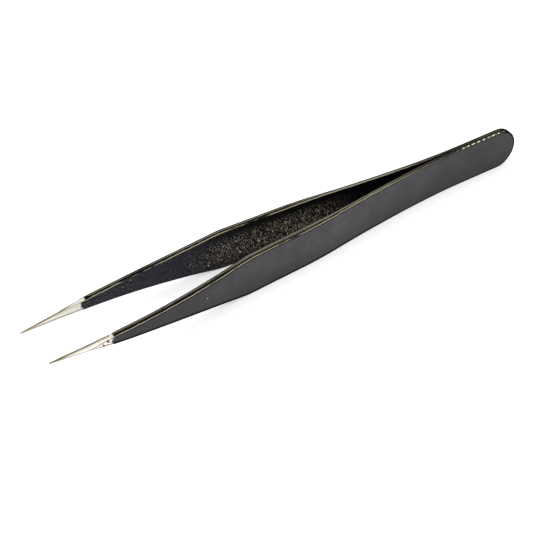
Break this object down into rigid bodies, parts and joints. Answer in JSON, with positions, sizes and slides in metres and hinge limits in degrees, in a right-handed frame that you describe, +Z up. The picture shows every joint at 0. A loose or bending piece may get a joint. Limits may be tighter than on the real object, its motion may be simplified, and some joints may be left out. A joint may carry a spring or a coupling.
{
  "type": "precision tweezers",
  "caption": "Fine-point tweezers: mirrored spring-steel arms, welded at a rounded tail and black-coated up to bare needle tips, for gripping very small parts.",
  "frame": {"origin": "under the middle of the tweezers' length and opening, on the surface that the arms' lower edges rest on", "axes": "+X from the points to the tail, +Y from the near arm to the far arm (the way the tweezers open), +Z up along the height of the arms"},
  "size_m": [0.14, 0.0162, 0.0108],
  "materials": {
    "black_coating": "satin black epoxy powder coating with fine grain, worn to tan along the edges",
    "arm_steel": "ground and polished stainless steel, warm grey",
    "weld_metal": "resistance-weld nugget, dull"
  },
  "bodies": {
    "tail": {"near_arm_heel": "arm_steel", "near_heel_coating": "black_coating", "far_arm_heel": "arm_steel", "far_heel_coating": "black_coating", "rear_spot_weld": "weld_metal", "front_spot_weld": "weld_metal"},
    "near_arm": {"near_arm_blade": "arm_steel", "near_blade_coating": "black_coating"},
    "far_arm": {"far_arm_blade": "arm_steel", "far_blade_coating": "black_coating"}
  },
  "joints": [
    {"name": "far_arm_flex", "type": "hinge", "parent": "tail", "child": "far_arm", "pos_m": [0.036, 0.00077, 0.0054], "axis": [0, 0, 1], "range_deg": [0, 3.33], "stiffness_Nm_per_rad": 1.6},
    {"name": "near_arm_flex", "type": "hinge", "parent": "tail", "child": "near_arm", "pos_m": [0.036, -0.00077, 0.0054], "axis": [0, 0, -1], "range_deg": [0, 3.33], "stiffness_Nm_per_rad": 1.6}
  ],
  "couplings": [
    {"joint": "near_arm_flex", "follows": "far_arm_flex", "ratio": 1}
  ]
}
